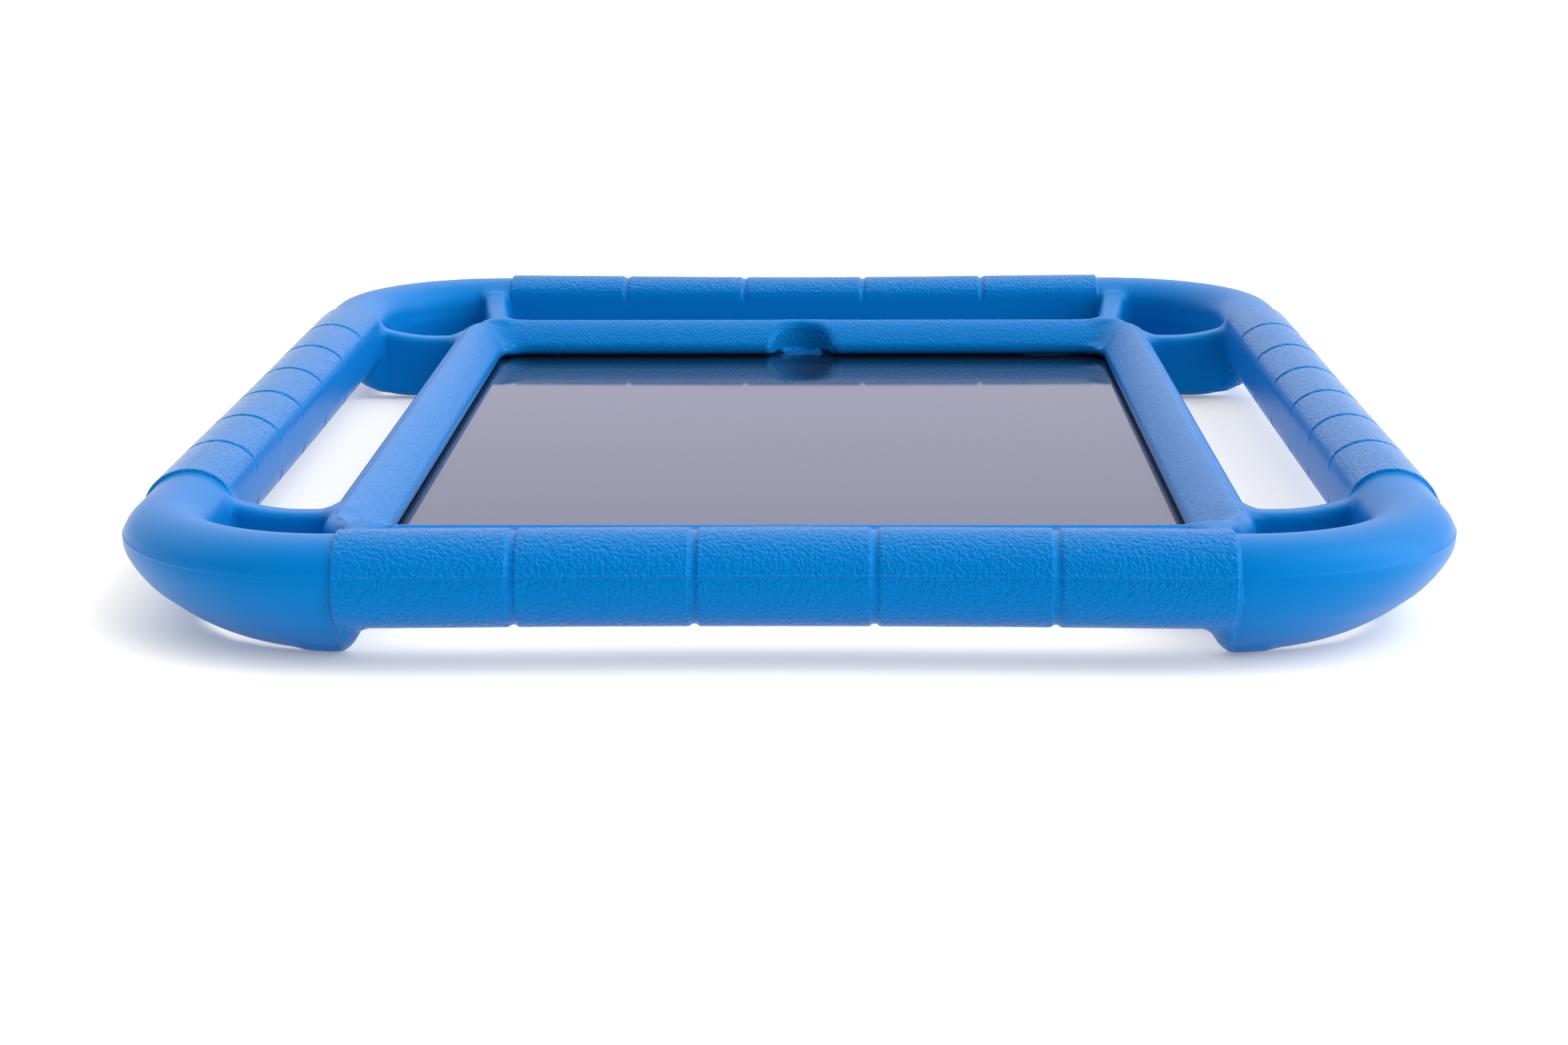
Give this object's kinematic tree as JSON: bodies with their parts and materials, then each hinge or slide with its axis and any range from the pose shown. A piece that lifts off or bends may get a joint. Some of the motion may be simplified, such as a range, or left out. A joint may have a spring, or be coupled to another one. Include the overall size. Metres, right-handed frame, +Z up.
{
  "type": "tablet computer in a foam case",
  "caption": "Tablet computer held in a moulded foam bumper frame with a ribbed grip handle along each side, finger slots, corner feet and press buttons.",
  "frame": {"origin": "middle of the footprint, at the level of the feet the case stands on", "axes": "+X to the right along the short side, +Y along the long side from the home button towards the front camera, +Z up out of the screen"},
  "size_m": [0.2598, 0.337, 0.0246],
  "materials": {
    "foam": "satin moulded EVA foam with a pebbled grain on the grips",
    "housing": "bead-blasted, satin",
    "cover_glass": "polished, dark behind",
    "lens_glass": "polished",
    "clear_film": "clear",
    "display": "dark, switched off",
    "gloss_black": "gloss",
    "black_plastic": "matte",
    "steel": "plated",
    "circuit_board": "solder mask",
    "battery_foil": "laminated foil",
    "flex_film": "polyimide film"
  },
  "bodies": {
    "tablet_in_case": {"foam_case": "foam", "rear_housing": "housing", "cover_glass": "cover_glass", "touch_digitizer": "clear_film", "glass_gasket": "black_plastic", "display_carrier": "black_plastic", "display_panel": "display", "display_backlight": "steel", "home_button_switch": "steel", "home_button_bracket": "steel", "power_switch": "steel", "volume_up_switch": "steel", "volume_down_switch": "steel", "battery_left": "battery_foil", "battery_right": "battery_foil", "battery_cable": "flex_film", "logic_board": "circuit_board", "processor_shield": "steel", "memory_shield": "steel", "logic_board_screw_1": "steel", "logic_board_screw_2": "steel", "logic_board_screw_3": "steel", "logic_board_screw_4": "steel", "home_bracket_screw_1": "steel", "home_bracket_screw_2": "steel", "front_camera": "black_plastic", "light_sensor": "black_plastic", "rear_camera": "black_plastic", "rear_camera_ring": "housing", "rear_camera_lens": "lens_glass", "headphone_jack": "black_plastic", "charge_port": "steel", "microphone": "steel", "speaker_left": "black_plastic", "speaker_grille_left": "steel", "speaker_right": "black_plastic", "speaker_grille_right": "steel", "antenna_left": "flex_film", "antenna_right": "flex_film", "digitizer_flex_cable": "flex_film", "display_flex_cable": "flex_film"},
    "home_button": {"home_button": "gloss_black"},
    "power_button": {"power_button": "housing"},
    "volume_up_button": {"volume_up_button": "housing"},
    "volume_down_button": {"volume_down_button": "housing"}
  },
  "joints": [
    {"name": "home_button_press", "type": "slide", "parent": "tablet_in_case", "child": "home_button", "axis": [0, 0, -1], "range_m": [0, 0.0003], "stiffness_N_per_m": 3000, "springref_m": -0.0002},
    {"name": "power_button_press", "type": "slide", "parent": "tablet_in_case", "child": "power_button", "axis": [0, -1, 0], "range_m": [0, 0.0004], "stiffness_N_per_m": 3000, "springref_m": -0.0002},
    {"name": "volume_up_press", "type": "slide", "parent": "tablet_in_case", "child": "volume_up_button", "axis": [-1, 0, 0], "range_m": [0, 0.0004], "stiffness_N_per_m": 3000, "springref_m": -0.0002},
    {"name": "volume_down_press", "type": "slide", "parent": "tablet_in_case", "child": "volume_down_button", "axis": [-1, 0, 0], "range_m": [0, 0.0004], "stiffness_N_per_m": 3000, "springref_m": -0.0002}
  ]
}
